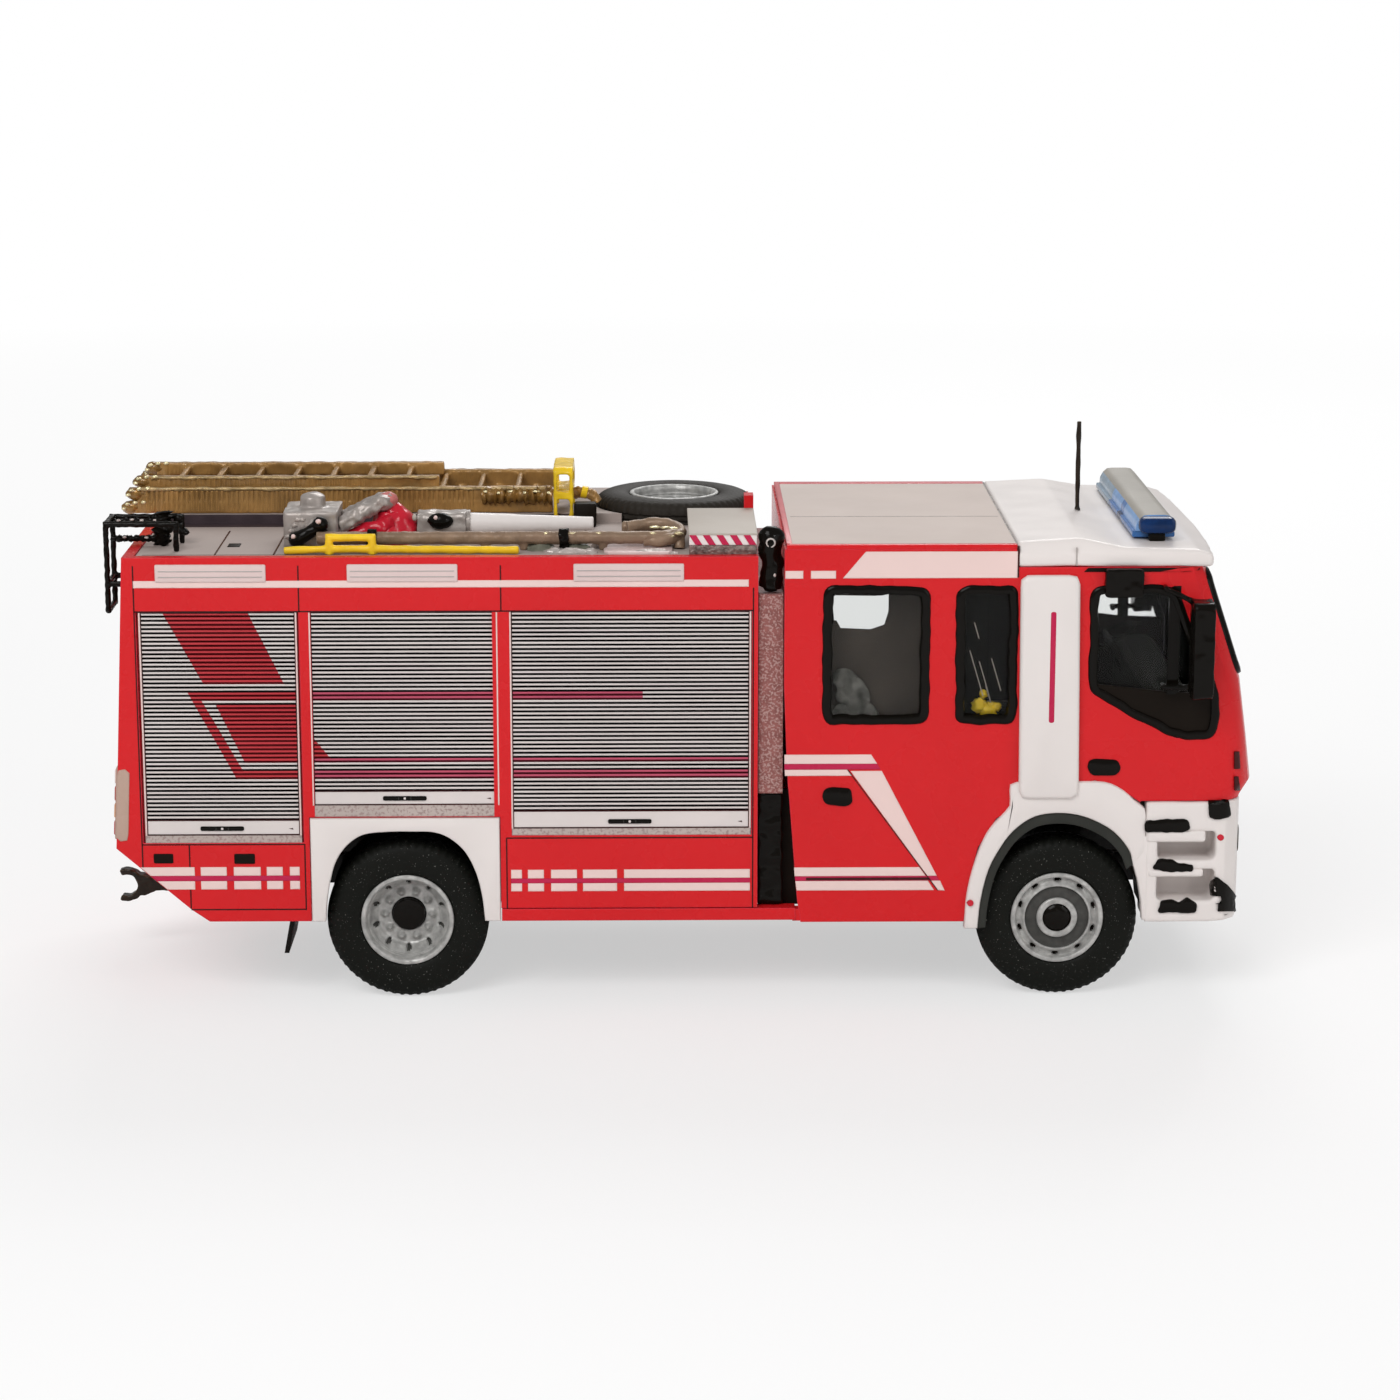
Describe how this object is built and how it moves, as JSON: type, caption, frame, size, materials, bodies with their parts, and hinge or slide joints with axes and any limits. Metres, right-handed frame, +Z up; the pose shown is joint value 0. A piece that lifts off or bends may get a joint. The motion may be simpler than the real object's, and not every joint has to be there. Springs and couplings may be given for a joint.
{
  "type": "fire engine scale model",
  "caption": "Small-scale model of a crew-cab fire engine with roller-shutter lockers, roof ladders and monitor; both axles roll.",
  "frame": {"origin": "on the ground under the middle of the model's overall box", "axes": "+X to the front, +Y to the left side, +Z up"},
  "size_m": [0.0858, 0.035, 0.0412],
  "materials": {
    "red_paint": "glossy hand-applied paint",
    "white_paint": "satin white paint",
    "shutter_grey": "satin light grey with fine slats",
    "deck_grey": "matte warm grey",
    "black_plastic": "black, hand painted",
    "tyre_rubber": "matte black",
    "rim_silver": "silver paint",
    "steel_pin": "bare steel",
    "clear_window": "clear plastic glazing",
    "seat_grey": "dark grey plastic",
    "lamp_white": "white lamp strips",
    "lamp_tail": "dull beige lamp strips",
    "blue_lamp": "blue translucent cover",
    "ladder_bronze": "bronze paint",
    "yellow_paint": "glossy yellow paint",
    "tool_grey": "grey paint",
    "monitor_red": "glossy red paint"
  },
  "bodies": {
    "truck": {"spare_tyre": "tyre_rubber", "spare_wheel": "rim_silver", "chassis_frame": "black_plastic", "wheel_liners": "black_plastic", "side_tanks": "black_plastic", "mudflaps": "black_plastic", "tow_hook": "black_plastic", "mirrors": "black_plastic", "antenna": "black_plastic", "air_intake": "black_plastic", "ladder_clamps": "black_plastic", "access_rails": "black_plastic", "grille": "black_plastic", "body_shell": "red_paint", "side_sills": "red_paint", "cab_shell": "red_paint", "rear_arch_panels": "white_paint", "pillar_panels": "white_paint", "front_fenders": "white_paint", "bumper": "white_paint", "cab_roof": "white_paint", "rear_shutter_right": "shutter_grey", "rear_shutter_left": "shutter_grey", "middle_shutter_right": "shutter_grey", "middle_shutter_left": "shutter_grey", "front_shutter_right": "shutter_grey", "front_shutter_left": "shutter_grey", "tail_shutter": "shutter_grey", "roof_deck": "deck_grey", "crew_roof": "deck_grey", "gap_panel": "deck_grey", "roof_locker": "deck_grey", "scene_lamps": "lamp_white", "headlamps": "lamp_white", "rear_lamps": "lamp_tail", "crew_windows": "clear_window", "door_windows": "clear_window", "windscreen": "clear_window", "light_bar": "blue_lamp", "cab_interior": "seat_grey", "main_ladder": "ladder_bronze", "top_ladder": "ladder_bronze", "hook_ladder": "ladder_bronze", "ladder_bracket": "yellow_paint", "yellow_bar": "yellow_paint", "monitor_base": "tool_grey", "monitor_pipes": "tool_grey", "monitor_valve": "tool_grey", "monitor_neck": "monitor_red", "monitor_barrel": "white_paint"},
    "front_axle_set": {"front_axle": "steel_pin", "front_tyre_right": "tyre_rubber", "front_tyre_left": "tyre_rubber", "front_wheel_right": "rim_silver", "front_wheel_left": "rim_silver"},
    "rear_axle_set": {"rear_axle": "steel_pin", "rear_tyres_right": "tyre_rubber", "rear_tyres_left": "tyre_rubber", "rear_wheel_right": "rim_silver", "rear_wheel_left": "rim_silver"}
  },
  "joints": [
    {"name": "front_axle_spin", "type": "hinge", "parent": "truck", "child": "front_axle_set", "pos_m": [0.0286, 0, 0.006], "axis": [0, 1, 0], "continuous": true},
    {"name": "rear_axle_spin", "type": "hinge", "parent": "truck", "child": "rear_axle_set", "pos_m": [-0.0196, 0, 0.006], "axis": [0, 1, 0], "continuous": true}
  ]
}
